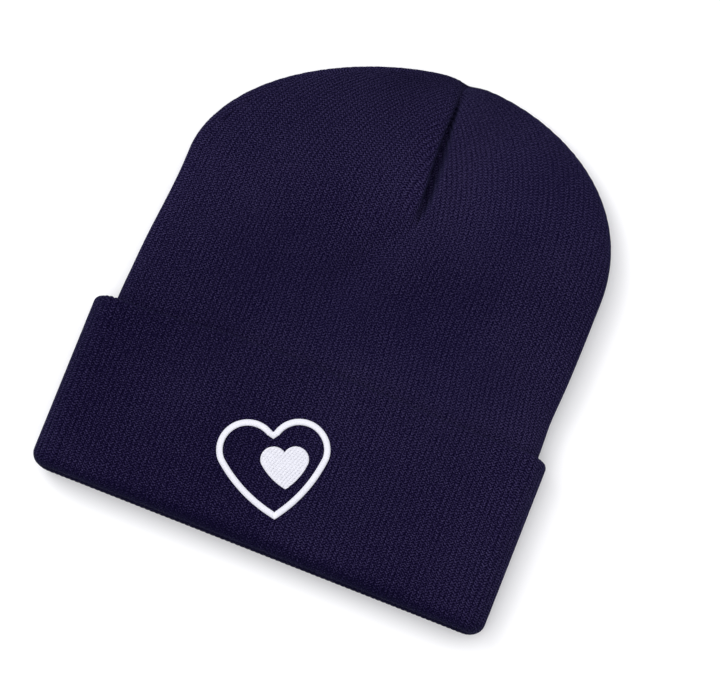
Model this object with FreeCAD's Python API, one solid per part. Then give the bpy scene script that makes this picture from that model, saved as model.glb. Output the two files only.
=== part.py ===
"""Cuffed knit beanie, lying flat and relaxed, crown towards +Y, with its turned-up cuff closed.

The knit is a long tube tucked into itself, so every wall is two plies thick. The two crowns are each closed
by four darts. At the hem both plies turn outwards and run back up as the cuff, whose free edge is closed by a
small turn of the outer ply. Each ply, dart seam and stitched piece is a solid of its own.

Millimetres, +Z up, origin under the middle of the hat on the surface that it lies on.
"""

import FreeCAD, Part

import math
import os

from FreeCAD import Vector

# ---------------------------------------------------------------- driving dimensions
CUFF_WIDTH = 200.0  # across the flattened cuff
HAT_HEIGHT = 213.5  # hem line to the end of the crown
CUFF_DEPTH = 75.5  # hem line to the cuff's free edge
LEFT_TAPER = 5.2  # how far the body's left side has drawn in at the cuff's free edge
RIGHT_TAPER = 1.4  # how far its right side has, since the body lies a little to the right in the cuff
CROWN_START = 146.0  # hem line to where the crown's shoulders begin
CROWN_PEAK_X = 21.0  # the crown lies with its peak this far to the right
LEFT_LEAN = 4.6  # how far the left side leans in between the cuff and the crown
CROWN_END_SHARE = 0.135  # half-width at the crown's flat end, as a share of the shoulders' half-width
PLY = 1.3  # one ply of relaxed rib knit
PLY_GAP = 0.6  # air between the two plies of a wall
TURN_GAP = 0.3  # air between the body and the turned-up cuff
MOUTH_HALF = 4.0  # half the height of the hollow at the mouth
CROWN_TOP = 22.5  # highest point of the body above the surface
SETTLE_LENGTH = 38.0  # from the cuff's free edge to where the body has its full height
CROWN_LIFT = 0.25  # the body's underside stays this far above the surface
CROWN_END_LOW = 2.6  # underside of the crown's end above the surface
CROWN_END_HIGH = 15.4  # top of the crown's end above the surface
CROWN_FALL = 1.35  # the crown's height falls over this many crown lengths, and is cut off at the crown's end
LINING_DRIFT = (0.75, 1.03)  # the plies part between these shares of the way up to the crown's shoulders
SIDE_CLEARANCE = 0.3  # between the cuff's panels and its side folds
EDGE_ROUND = 0.6  # rounding along the cuff's free edge

DART_LENGTH = 58.0  # along the crown, from the tack down
DART_X = 10.5  # the front and back darts lie this far to the right
SEAM_RADIUS = 0.8  # overlocked seam allowance
SEAM_CLEARANCE = 0.3  # between a seam allowance and the plies, and between two allowances
TACK_CLEARANCE = 2.5  # between the seams' ends and the closing knot

MOTIF_X = -4.0  # middle of the embroidery, from the hat's middle
MOTIF_UP = 28.5  # middle of the embroidery, from the hem line
MOTIF_TILT = 22.0  # turned anticlockwise on the cuff, degrees
HEART_WIDTH = 47.0
HEART_TALL = 0.9  # height of a heart, as a share of its width
LOBE_SHARE = 0.272  # radius of a heart's lobe, as a share of its width
LOBE_CREST = 0.35  # a point on the lobe that its arc runs through, in lobe radii outwards from its centre
LOBE_END = (0.02, 0.1)  # where a lobe becomes a flank: in from the side and below the lobe's centre, as shares
FLANK_BOW = 0.035  # how far a flank bows out in each direction, as a share of the width
HEART_STROKE = 2.6  # width of the satin-stitched outline
SMALL_HEART_WIDTH = 20.0
SMALL_HEART_X = 4.5  # middle of the small heart, from the middle of the large one
SMALL_HEART_Y = 0.5
STITCH_HEIGHT = 0.7  # embroidery above the knit
BOBBIN_HEIGHT = 0.22  # under-thread, between the plies
BOBBIN_STROKE = 1.6
BOBBIN_INSET = 0.5  # the under-thread's outline lies this far inside the satin stitch's
BACKING_THICK = 0.25  # cut-away backing behind the embroidery
BACKING_MARGIN = 2.5  # how far the trimmed backing runs past the embroidery

LABEL_WIDTH = 16.0
LABEL_LENGTH = 32.0
LABEL_THICK = 0.6  # a folded ribbon
LABEL_CLEARANCE = 0.1  # between the label and the lining
LABEL_X = -58.0
LABEL_UP = 10.0  # from the hem line
LABEL_STITCH = 0.3
LABEL_STITCH_MARGIN = 1.5

# ---------------------------------------------------------------- what follows from them
WALL = 2 * PLY + PLY_GAP
BODY_HALF = MOUTH_HALF + WALL  # half the thickness of the body at the mouth
FOLD_HALF = BODY_HALF + TURN_GAP / 2  # the fold line's height above the middle
CUFF_INNER = BODY_HALF + TURN_GAP
CUFF_HALF = CUFF_INNER + WALL
MIDDLE = CUFF_HALF  # height of the middle plane at the mouth
FOLD_RADIUS = WALL + TURN_GAP / 2  # the hem stands this far below the hem line
HEM_Y = -(HAT_HEIGHT - FOLD_RADIUS) / 2  # the hem line, from the origin
SIDE_X = CUFF_WIDTH / 2 - CUFF_HALF  # where the side folds begin
BODY_HALF_WIDTH = SIDE_X + BODY_HALF
HINGE_BACK = math.pi * FOLD_RADIUS / 4  # the cuff turns about a line this far below the hem line
CROWN_PLY_GAP = 2 * (SEAM_RADIUS + SEAM_CLEARANCE)  # air between the plies at the crown, for the seams
CROWN_BULGE_X, CROWN_BULGE_Y = 1.85, 2.1  # exponents of the crown's outline: 2 is an ellipse


def smooth(value, low, high):
    """0 below low, 1 above high, and an even curve between."""
    t = min(1.0, max(0.0, (value - low) / (high - low)))
    return t * t * (3 - 2 * t)


def stations():
    """(distance from the hem line, share of the crown's outline left) for each section above the cuff."""
    open_length = CROWN_START - CUFF_DEPTH
    found = [(CUFF_DEPTH + share * open_length, 1.0) for share in (0, 0.12, 0.28, 0.46, 0.64, 0.82)]
    last = math.acos(CROWN_END_SHARE ** (CROWN_BULGE_X / 2))
    for k in range(8):
        a = last * (k / 7) ** 0.85
        rise = math.sin(a) ** (2 / CROWN_BULGE_Y) / math.sin(last) ** (2 / CROWN_BULGE_Y)
        found.append((CROWN_START + rise * (HAT_HEIGHT - CROWN_START), math.cos(a) ** (2 / CROWN_BULGE_X)))
    return found


def side_edges(up, share):
    """(left, right) of the body's outside at a distance up from the hem line."""
    drawn_in = min(1.0, up / CUFF_DEPTH)
    lean = LEFT_LEAN * smooth(up, CUFF_DEPTH, CROWN_START)
    left = -BODY_HALF_WIDTH + LEFT_TAPER * drawn_in + lean
    right = BODY_HALF_WIDTH - RIGHT_TAPER * drawn_in
    return (
        CROWN_PEAK_X + share * (left - CROWN_PEAK_X),
        CROWN_PEAK_X + share * (right - CROWN_PEAK_X),
    )


def heights(up):
    """(underside, top) of the body's outside at a distance up from the hem line."""
    settle = smooth(up, CUFF_DEPTH, CUFF_DEPTH + SETTLE_LENGTH)
    fall_end = CROWN_START + CROWN_FALL * (HAT_HEIGHT - CROWN_START)
    crown = smooth(up, CROWN_START, fall_end)
    low = MIDDLE - BODY_HALF + settle * (CROWN_LIFT - MIDDLE + BODY_HALF)
    high = MIDDLE + BODY_HALF + settle * (CROWN_TOP - MIDDLE - BODY_HALF)
    end = smooth(HAT_HEIGHT, CROWN_START, fall_end)
    return (
        low + crown / end * (CROWN_END_LOW - low),
        high + crown / end * (CROWN_END_HIGH - high),
    )


def inset_at(up, layer):
    """Depth of a surface inside the body: 0 is the outside, 1 and 2 bound the air gap, 3 is the hollow."""
    start, end = LINING_DRIFT
    gap = PLY_GAP + (CROWN_PLY_GAP - PLY_GAP) * smooth(up, start * CROWN_START, end * CROWN_START)
    return (0.0, PLY, PLY + gap, 2 * PLY + gap)[layer]


def inset_section(up, share, layer):
    """(distance from the hem line, left, right, low, high) of a surface inside the body's outside."""
    inset = inset_at(up, layer)
    left, right = side_edges(up, share)
    low, high = heights(up)
    beyond = max(0.0, up - CROWN_START) / (HAT_HEIGHT - CROWN_START)
    return up - beyond * inset, left + inset, right - inset, low + inset, high - inset


def stadium(y, left, right, low, high):
    """A flat-sided section with round ends, standing across the hat."""
    r, z = (high - low) / 2, (high + low) / 2
    a, b = left + r, right - r
    top = Part.makeLine(Vector(a, y, high), Vector(b, y, high))
    end = Part.Arc(Vector(b, y, high), Vector(b + r, y, z), Vector(b, y, low)).toShape()
    bottom = Part.makeLine(Vector(b, y, low), Vector(a, y, low))
    start = Part.Arc(Vector(a, y, low), Vector(a - r, y, z), Vector(a, y, high)).toShape()
    return Part.Wire([top, end, bottom, start])


def section_wire(up, left, right, low, high):
    """A section of the body at a distance up from the hem line."""
    return stadium(HEM_Y + up, left, right, low, high)


def pouch(layer, below=0.0):
    """The closed form bounded by one surface of the body. below carries it past the hem line."""
    above_cuff = [inset_section(up, share, layer) for up, share in stations()]
    hem = inset_section(0.0, 1.0, layer)
    upper = Part.makeLoft([section_wire(*section) for section in above_cuff], True, False)
    under_cuff = Part.makeLoft([section_wire(*hem), section_wire(*above_cuff[0])], True, True)
    pieces = [under_cuff]
    if below:
        pieces.append(Part.Face(section_wire(*hem)).extrude(Vector(0, -below, 0)))
    return upper.fuse(pieces)


def ply_shell(outer_layer):
    """One ply of the body: a pocket that is open at the hem line."""
    return pouch(outer_layer).cut(pouch(outer_layer + 1, below=MOUTH_HALF))


# ---------------------------------------------------------------- hem fold and cuff


def ring_profile(inner, outer):
    """Half a ring that opens upwards along +Y, in the plane through the hem line: one ply's turn at the hem."""
    z = MIDDLE + FOLD_HALF

    def arc(r):
        return Part.Arc(
            Vector(0, HEM_Y, z - r), Vector(0, HEM_Y - r, z), Vector(0, HEM_Y, z + r)
        ).toShape()

    lines = [
        Part.makeLine(Vector(0, HEM_Y, z + inner), Vector(0, HEM_Y, z + outer)),
        Part.makeLine(Vector(0, HEM_Y, z - inner), Vector(0, HEM_Y, z - outer)),
    ]
    edges = Part.__sortEdges__([arc(inner), arc(outer), *lines])
    return Part.Face(Part.Wire(edges))


def hem_fold(inner, outer):
    """One ply's turn at the hem, all round the mouth."""
    profile = ring_profile(inner, outer)
    front = profile.translated(Vector(-SIDE_X, 0, 0)).extrude(Vector(2 * SIDE_X, 0, 0))
    middle, along = Vector(0, 0, MIDDLE), Vector(0, 1, 0)
    back = front.copy()
    back.rotate(middle, along, 180)
    right = profile.translated(Vector(SIDE_X, 0, 0)).revolve(middle + Vector(SIDE_X, 0, 0), along, 180)
    left = profile.translated(Vector(-SIDE_X, 0, 0)).revolve(middle - Vector(SIDE_X, 0, 0), along, -180)
    return front.fuse([right, back, left]).removeSplitter()


def plate(x0, x1, up0, up1, z0, z1):
    """A box between two corners, with its length measured from the hem line."""
    return Part.makeBox(x1 - x0, up1 - up0, z1 - z0, Vector(x0, HEM_Y + up0, z0))


def edges_along(shape, along, near):
    """The edges of a shape that run along a direction and lie where near says."""
    found = []
    for edge in shape.Edges:
        if edge.Length < 1e-6:
            continue
        way = edge.tangentAt(edge.FirstParameter)
        if abs(abs(way.dot(along)) - 1) < 1e-6 and near(edge.CenterOfMass):
            found.append(edge)
    return found


def cuff_panel_plies(back):
    """(outer ply, inner ply) of the flat front panel of the cuff, or of the back one."""
    half = SIDE_X - SIDE_CLEARANCE / 2
    bottom, top = MIDDLE + CUFF_INNER, MIDDLE + CUFF_HALF
    inner = plate(-half, half, TURN_GAP, CUFF_DEPTH - PLY - PLY_GAP, bottom, bottom + PLY)
    outer = plate(-half, half, TURN_GAP, CUFF_DEPTH, top - PLY, top)
    outer = outer.fuse(plate(-half, half, CUFF_DEPTH - PLY, CUFF_DEPTH, bottom, top)).removeSplitter()
    free_edge = HEM_Y + CUFF_DEPTH
    rounded = edges_along(outer, Vector(1, 0, 0), lambda p: abs(p.y - free_edge) < 1e-6)
    outer = outer.makeFillet(EDGE_ROUND, rounded)
    if back:
        for ply in (outer, inner):
            ply.rotate(Vector(0, 0, MIDDLE), Vector(0, 1, 0), 180)
    return outer, inner


def half_tube(side, inner, outer, up0, up1):
    """A half tube round the side fold: side is 1 on the right and -1 on the left."""
    centre = Vector(side * SIDE_X, HEM_Y + up0, MIDDLE)
    along = Vector(0, 1, 0)
    tube = Part.makeCylinder(outer, up1 - up0, centre, along).cut(
        Part.makeCylinder(inner, up1 - up0, centre, along)
    )
    start = side * SIDE_X + (SIDE_CLEARANCE / 2 if side > 0 else -SIDE_CLEARANCE / 2 - 2 * CUFF_HALF)
    kept = plate(start, start + 2 * CUFF_HALF, up0, up1, MIDDLE - 2 * CUFF_HALF, MIDDLE + 2 * CUFF_HALF)
    return tube.common(kept)


def side_fold_plies(side):
    """(outer ply, inner ply) of the cuff's fold at one side."""
    inner = half_tube(side, CUFF_INNER, CUFF_INNER + PLY, TURN_GAP, CUFF_DEPTH - PLY - PLY_GAP)
    outer = half_tube(side, CUFF_HALF - PLY, CUFF_HALF, TURN_GAP, CUFF_DEPTH)
    outer = outer.fuse(half_tube(side, CUFF_INNER, CUFF_HALF, CUFF_DEPTH - PLY, CUFF_DEPTH))
    return outer.removeSplitter(), inner


# ---------------------------------------------------------------- crown seams


def seam_roll(points, radius):
    """A round seam allowance through a few points: circles lofted one after the other."""
    rings = []
    for k, point in enumerate(points):
        way = points[min(k + 1, len(points) - 1)] - points[max(k - 1, 0)]
        rings.append(Part.Wire(Part.makeCircle(radius, point, way)))
    return Part.makeLoft(rings, True, False)


def crown_stations(start):
    """Stations of the crown from a distance up from the hem line to short of the closing knot."""
    stop = HAT_HEIGHT - PLY - CROWN_PLY_GAP - TACK_CLEARANCE
    for k in range(7):
        up = start + (stop - start) * k / 6
        beyond = max(0.0, up - CROWN_START) / (HAT_HEIGHT - CROWN_START)
        full = math.sin(math.acos(CROWN_END_SHARE ** (CROWN_BULGE_X / 2))) ** (2 / CROWN_BULGE_Y)
        rise = (beyond * full) ** CROWN_BULGE_Y
        yield up, (1 - rise) ** (1 / CROWN_BULGE_X)


def face_dart(front, aside):
    """A dart seam down the crown's front or back, between the plies. aside moves it off the dart's line."""
    depth = PLY + CROWN_PLY_GAP / 2
    points = []
    for up, _ in crown_stations(HAT_HEIGHT - DART_LENGTH):
        low, high = heights(up)
        beyond = max(0.0, up - CROWN_START) / (HAT_HEIGHT - CROWN_START)
        z = high - depth if front else low + depth
        points.append(Vector(DART_X + aside, HEM_Y + up - beyond * depth, z))
    return seam_roll(points, SEAM_RADIUS)


def side_dart(side, aside):
    """A dart seam along one side of the crown: side is 1 on the right and -1 on the left."""
    depth = PLY + CROWN_PLY_GAP / 2
    points = []
    for up, share in crown_stations(HAT_HEIGHT - DART_LENGTH):
        left, right = side_edges(up, share)
        low, high = heights(up)
        beyond = max(0.0, up - CROWN_START) / (HAT_HEIGHT - CROWN_START)
        round_end = (high - low) / 2 - depth
        bow = round_end - math.sqrt(round_end**2 - aside**2)
        x = right - depth - bow if side > 0 else left + depth + bow
        points.append(Vector(x, HEM_Y + up - beyond * depth, (low + high) / 2 + aside))
    return seam_roll(points, SEAM_RADIUS)


def tack_knot():
    """The closing knot between the two crowns, where the four darts of each meet."""
    y = HEM_Y + HAT_HEIGHT - PLY - CROWN_PLY_GAP / 2
    z = (CROWN_END_LOW + CROWN_END_HIGH) / 2
    return Part.makeSphere(SEAM_RADIUS, Vector(CROWN_PEAK_X, y, z))


# ---------------------------------------------------------------- embroidery


def heart_wire(width, x, y, z):
    """A plain heart of two round lobes and two bowed sides, upright, with its middle at (x, y)."""
    r = LOBE_SHARE * width
    dx = width / 2 - r
    dip = math.sqrt(r * r - dx * dx)
    low = (HEART_TALL - LOBE_SHARE) * width  # lobe centres to tip
    up = (low - r) / 2  # lobe centres above the middle
    side = Vector(x + (0.5 - LOBE_END[0]) * width, y + up - LOBE_END[1] * width, z)

    def mirror(p):
        return Vector(2 * x - p.x, p.y, p.z)

    notch, tip = Vector(x, y + up + dip, z), Vector(x, y + up - low, z)
    crest = Vector(x + dx + LOBE_CREST * r, y + up + math.sqrt(1 - LOBE_CREST**2) * r, z)
    flank = (side + tip) * 0.5 + Vector(FLANK_BOW * width, -FLANK_BOW * width, 0)
    right = [Part.Arc(notch, crest, side).toShape(), Part.Arc(side, flank, tip).toShape()]
    left = [
        Part.Arc(tip, mirror(flank), mirror(side)).toShape(),
        Part.Arc(mirror(side), mirror(crest), notch).toShape(),
    ]
    return Part.Wire(right + left)


def place_motif(shape):
    """Turns an upright motif that was drawn round the origin and sets it on the cuff's front."""
    shape.rotate(Vector(0, 0, 0), Vector(0, 0, 1), MOTIF_TILT)
    shape.translate(Vector(MOTIF_X, HEM_Y + MOTIF_UP, 0))
    return shape


def heart_band(width, stroke, z, height):
    """A heart outline of even width and height."""
    outside = Part.Face(heart_wire(width, 0, 0, z))
    inside = Part.Face(heart_wire(width, 0, 0, z).makeOffset2D(-stroke))
    return place_motif(outside.cut(inside).extrude(Vector(0, 0, height)))


def heart_solid(width, x, y, z, height):
    """A filled heart."""
    return place_motif(Part.Face(heart_wire(width, x, y, z)).extrude(Vector(0, 0, height)))


# ---------------------------------------------------------------- label


def care_label():
    """A blank folded ribbon that lies on the lining inside the back."""
    z = MIDDLE - MOUTH_HALF + LABEL_CLEARANCE
    x0, x1 = LABEL_X - LABEL_WIDTH / 2, LABEL_X + LABEL_WIDTH / 2
    ribbon = plate(x0, x1, LABEL_UP, LABEL_UP + LABEL_LENGTH, z, z + LABEL_THICK)
    fold = edges_along(ribbon, Vector(1, 0, 0), lambda p: p.y < HEM_Y + LABEL_UP + 1e-6)
    return ribbon.makeFillet(0.45 * LABEL_THICK, fold)


def label_stitching():
    """Two rows of stitching that hold the label's upper end."""
    z = MIDDLE - MOUTH_HALF + LABEL_CLEARANCE + LABEL_THICK
    half = LABEL_WIDTH / 2 - LABEL_STITCH_MARGIN
    rows = []
    for k in (1, 2):
        top = LABEL_UP + LABEL_LENGTH - k * LABEL_STITCH_MARGIN
        rows.append(plate(LABEL_X - half, LABEL_X + half, top - LABEL_STITCH, top, z, z + LABEL_STITCH))
    return Part.makeCompound(rows)


# ---------------------------------------------------------------- the whole hat


def build():
    """Every node of the hat by name."""
    outer_turn = (TURN_GAP / 2 + PLY + PLY_GAP, FOLD_RADIUS)
    inner_turn = (TURN_GAP / 2, TURN_GAP / 2 + PLY)
    cuff_top = MIDDLE + CUFF_HALF
    under_ply = cuff_top - PLY - BOBBIN_HEIGHT
    beside = SEAM_RADIUS + SEAM_CLEARANCE / 2
    nodes = {
        "outer_shell": ply_shell(0),
        "lining_shell": ply_shell(2),
        "hem_fold_outer_ply": hem_fold(*outer_turn),
        "hem_fold_inner_ply": hem_fold(*inner_turn),
        "crown_tack_knot": tack_knot(),
        "care_label": care_label(),
        "label_stitching": label_stitching(),
        "heart_outline_embroidery": heart_band(HEART_WIDTH, HEART_STROKE, cuff_top, STITCH_HEIGHT),
        "small_heart_embroidery": heart_solid(
            SMALL_HEART_WIDTH, SMALL_HEART_X, SMALL_HEART_Y, cuff_top, STITCH_HEIGHT
        ),
        "bobbin_stitching": heart_band(
            HEART_WIDTH - 2 * BOBBIN_INSET, BOBBIN_STROKE, under_ply, BOBBIN_HEIGHT
        ),
        "embroidery_backing": heart_solid(
            HEART_WIDTH + 2 * BACKING_MARGIN, 0, 0, under_ply - BACKING_THICK, BACKING_THICK
        ),
    }
    for name, aside in (("crown_dart", beside), ("lining_dart", -beside)):
        nodes[name + "_front"] = face_dart(True, aside)
        nodes[name + "_back"] = face_dart(False, aside)
        nodes[name + "_left"] = side_dart(-1, aside)
        nodes[name + "_right"] = side_dart(1, aside)
    for name, back in (("cuff_front", False), ("cuff_back", True)):
        nodes[name + "_outer_ply"], nodes[name + "_inner_ply"] = cuff_panel_plies(back)
    for name, side in (("cuff_left_fold", -1), ("cuff_right_fold", 1)):
        nodes[name + "_outer_ply"], nodes[name + "_inner_ply"] = side_fold_plies(side)
    return nodes


def main():
    os.makedirs("parts", exist_ok=True)
    for name, shape in sorted(build().items()):
        if not shape.isValid() or shape.Volume <= 0:
            raise RuntimeError(name + " isn't a valid solid")
        shape.exportStep("parts/" + name + ".step")
        box = shape.BoundBox
        print(
            f"{name:28s} solids {len(shape.Solids)} volume {shape.Volume:10.1f} mm3 "
            f"x {box.XMin:.1f}..{box.XMax:.1f} y {box.YMin:.1f}..{box.YMax:.1f} z {box.ZMin:.2f}..{box.ZMax:.2f}"
        )
    print(f"hinge line at y {HEM_Y - HINGE_BACK:.3f}, z {MIDDLE + FOLD_HALF:.3f} and {MIDDLE - FOLD_HALF:.3f}")


main()
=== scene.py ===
# %% [markdown]
# # A knitted beanie
# The hat is a long rib-knit tube tucked into itself, sewn into a crown with four darts and turned up at
# the hem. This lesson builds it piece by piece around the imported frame: body, lining, cuff, embroidery,
# seams and label.

# %% Load the frame
import math

import bmesh
import bpy
import numpy as np
from mathutils import Matrix, Vector
from mathutils.kdtree import KDTree


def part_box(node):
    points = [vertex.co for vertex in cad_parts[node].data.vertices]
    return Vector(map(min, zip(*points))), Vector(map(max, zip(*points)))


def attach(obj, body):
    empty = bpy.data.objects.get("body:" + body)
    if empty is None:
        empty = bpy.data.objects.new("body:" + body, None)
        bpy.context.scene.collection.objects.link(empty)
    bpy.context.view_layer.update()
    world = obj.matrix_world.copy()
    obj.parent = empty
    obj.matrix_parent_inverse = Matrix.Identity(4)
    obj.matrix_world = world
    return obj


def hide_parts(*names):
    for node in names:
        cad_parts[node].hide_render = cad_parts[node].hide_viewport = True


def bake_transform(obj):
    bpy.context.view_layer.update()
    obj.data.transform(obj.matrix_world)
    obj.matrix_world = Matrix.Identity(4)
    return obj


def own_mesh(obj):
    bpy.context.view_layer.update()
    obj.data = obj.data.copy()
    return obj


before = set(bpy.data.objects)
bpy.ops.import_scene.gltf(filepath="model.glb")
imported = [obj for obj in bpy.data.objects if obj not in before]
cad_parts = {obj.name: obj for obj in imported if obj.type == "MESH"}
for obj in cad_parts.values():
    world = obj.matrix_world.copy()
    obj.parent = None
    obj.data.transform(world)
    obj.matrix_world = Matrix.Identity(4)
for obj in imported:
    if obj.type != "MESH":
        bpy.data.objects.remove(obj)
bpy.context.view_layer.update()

MM = 0.001


def in_mm(length):
    """A length in millimetres, rounded for printing."""
    return round(float(length) / MM, 2)


# %% [markdown]
# ## Sizes from the frame
# A knitter would call these the ticket measures. Each comes from a box of the frame, so the cloth made
# here always fits the design: where the hem line runs, how thick a wall of two plies is, and how far the
# cuff comes up.

# %% Measure the frame
hem_low, hem_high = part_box("hem_fold_outer_ply")
front_low, front_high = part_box("cuff_front_outer_ply")
fold_low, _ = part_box("cuff_right_fold_outer_ply")
inner_low, inner_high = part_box("cuff_front_inner_ply")
body_low, body_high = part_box("outer_shell")

HEM_Y = hem_high.y  # the hem line, where the cuff folds
MIDDLE = (hem_low.z + hem_high.z) / 2  # height of the hat's middle at the mouth
TURN = HEM_Y - hem_low.y  # outer radius of the fold at the hem
WALL = front_high.z - front_low.z  # two plies and the air between them
PLY = inner_high.z - inner_low.z
CUFF_OUT = hem_high.z - MIDDLE  # outside of the cuff, from the middle
CUFF_IN = CUFF_OUT - WALL
FOLD_LINE = CUFF_OUT - TURN  # height of the fold's own middle
BODY_OUT = 2 * FOLD_LINE - CUFF_IN  # outside of the body under the cuff
STRAIGHT = (front_high.x + fold_low.x) / 2  # where the cuff's flat front meets its side folds
CUFF_TOP = front_high.y  # the cuff's free edge
CROWN_SAG = 1.6 * MM  # the cloth sags this far below the sewn peak
CROWN_TOP = body_high.y - CROWN_SAG
print("in mm: wall", in_mm(WALL), "cuff", in_mm(CUFF_TOP - HEM_Y), "half of the flat front", in_mm(STRAIGHT))

# %% [markdown]
# ## Ribs
# Rib knit alternates a raised column of stitches with a sunken one. Every wale runs the whole way from
# the crown, round the hem and up the cuff, so one count of ribs serves all the pieces, and they meet in
# the valleys. The ribs could be painted as bump, but their edges show against the light, so here they are
# real geometry: each rib is a few grid columns wide, and the columns between two crests sink below the
# surface.

# %% Count the ribs
FRONT_RIBS, SIDE_RIBS = 80, 12
RIBS = 2 * (FRONT_RIBS + SIDE_RIBS)
RIB_DEPTH = 0.5 * MM
RIB_CURVE = 0.8  # below 1 the crests are broad and the valleys narrow
HEM_WORN = 0.6  # share of the ribs' depth that is gone where the hem faces down
STITCH = 1.25 * MM  # height of one stitch along the wale
LEFT_END, RIGHT_START = 0, FRONT_RIBS  # rib numbers of the front's two ends
BACK_START, BACK_END = FRONT_RIBS + SIDE_RIBS, 2 * FRONT_RIBS + SIDE_RIBS


def rib_sink(u):
    """How far the surface lies below the crests at rib coordinate u. Valleys are at whole numbers."""
    return RIB_DEPTH * (1 - np.abs(np.sin(math.pi * u)) ** RIB_CURVE)


def pressed(down):
    """What is left of the ribs' depth where the cloth faces down, over the hem, which is worn flat."""
    return 1 - HEM_WORN * np.clip(-down, 0, 1)


def stadium(u, rho):
    """(x, z, normal x, normal z) of the flattened tube at rib coordinate u, rho from its middle line."""
    u = np.mod(u, RIBS)
    pitch = 2 * STRAIGHT / FRONT_RIBS
    turn = math.pi / SIDE_RIBS
    front, right = u <= RIGHT_START, (u > RIGHT_START) & (u < BACK_START)
    back = (u >= BACK_START) & (u <= BACK_END)
    angle = np.where(front, 0.0, np.where(right, (u - RIGHT_START) * turn, np.where(back, math.pi, 0.0)))
    left = u > BACK_END
    angle = np.where(left, math.pi + (u - BACK_END) * turn, angle)
    centre = np.where(front, -STRAIGHT + u * pitch, np.where(right, STRAIGHT, 0.0))
    centre = np.where(back, STRAIGHT - (u - BACK_START) * pitch, np.where(left, -STRAIGHT, centre))
    nx, nz = np.sin(angle), np.cos(angle)
    return centre + rho * nx, MIDDLE + rho * nz, nx, nz


print("ribs round the hat:", RIBS, "pitch in mm:", in_mm(2 * STRAIGHT / FRONT_RIBS))

# %% [markdown]
# ## Cloth grids
# Each knitted piece starts as a flat grid from the grid operator, one direction round the hat and the
# other along the wales. Its points are then moved onto the piece's surface. Where two edges of the grid
# land on the same line they are welded, as a linking machine would. The UV map is kept in knitter's
# units: ribs across and stitches up.

# %% A helper that moves a grid into place
collection = bpy.context.scene.collection
WELD = 2e-6  # metres: points closer than this are one point


def cloth_grid(name, points, across, along):
    """A welded mesh object from points[row, column]. Its UV map is across in ribs and along in stitches."""
    rows, columns = points.shape[:2]
    bm = bmesh.new()
    bmesh.ops.create_grid(bm, x_segments=columns - 1, y_segments=rows - 1, size=1.0)
    mesh = bpy.data.meshes.new(name)
    bm.to_mesh(mesh)
    bm.free()
    flat = np.empty(len(mesh.vertices) * 3, np.float32)
    mesh.vertices.foreach_get("co", flat)
    flat = flat.reshape(-1, 3)
    column = np.rint((flat[:, 0] + 1) / 2 * (columns - 1)).astype(int)
    row = np.rint((flat[:, 1] + 1) / 2 * (rows - 1)).astype(int)
    mesh.vertices.foreach_set("co", points[row, column].astype(np.float32).ravel())
    corner = np.empty(len(mesh.loops), np.int32)
    mesh.loops.foreach_get("vertex_index", corner)
    uv = np.stack([across[row, column][corner], along[row, column][corner]], 1)
    layer = mesh.uv_layers.new(name="Knit")
    layer.data.foreach_set("uv", uv.astype(np.float32).ravel())
    bm = bmesh.new()
    bm.from_mesh(mesh)
    bmesh.ops.remove_doubles(bm, verts=bm.verts, dist=WELD)
    bmesh.ops.dissolve_degenerate(bm, dist=WELD / 2, edges=bm.edges)
    bm.to_mesh(mesh)
    bm.free()
    mesh.shade_smooth()
    obj = bpy.data.objects.new(name, mesh)
    collection.objects.link(obj)
    return obj


def open_edges(obj):
    """How many edges of a mesh don't join exactly two faces."""
    bm = bmesh.new()
    bm.from_mesh(obj.data)
    loose = sum(1 for e in bm.edges if len(e.link_faces) != 2)
    bm.free()
    return loose


def ease(value, low, high):
    """0 below low, 1 above high, and an even curve between."""
    t = np.clip((value - low) / (high - low), 0, 1)
    return t * t * (3 - 2 * t)


# %% [markdown]
# ## The body's form
# The relaxed tube lies flat, thicker in the middle than at its edges, and its crown closes in a soft
# curve. The outline is two superellipses, because the hat leans to one side: a fuller right shoulder and
# a longer left one. A table of sections is worked out once, and every ply of the body reads it.

# %% Sections of the body
CROWN_START = HEM_Y + 142.5 * MM  # where the shoulders begin
PEAK_X = 10.5 * MM  # the top of the crown, where the darts meet
LEFT_DRAWN_IN, RIGHT_DRAWN_IN = 5.2 * MM, 1.2 * MM  # each side, from the hem line to the cuff's free edge
LEFT_LEAN, RIGHT_LEAN = 4.4 * MM, 0.2 * MM  # and further in from there to the crown
SETTLE = 42.0 * MM  # from the cuff's free edge to the body's full height
LEFT_CURVE, RIGHT_CURVE = (1.9, 1.6), (2.2, 2.05)  # exponents of the crown's outline, along and across
BODY_HIGH, BODY_LOW = body_high.z, body_low.z
CROWN_DROP = 2.6 * MM  # the middle of the crown's end lies this much lower
CROWN_THINNING = 0.42  # share of its thickness that the crown loses on the way to its end
EDGE_SQUARE = 3.2  # exponent of a section: 2 is an ellipse, more is squarer
SHOULDER_DART = 9.0 * MM  # the side darts lie this far round from the fold
SHOULDER_SHARE = 0.06  # and at most this share of the way round the crown


def crown_rise(y):
    """0 below the shoulders, 1 at the crown's end."""
    return np.clip((y - CROWN_START) / (CROWN_TOP - CROWN_START), 0, 1)


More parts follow.
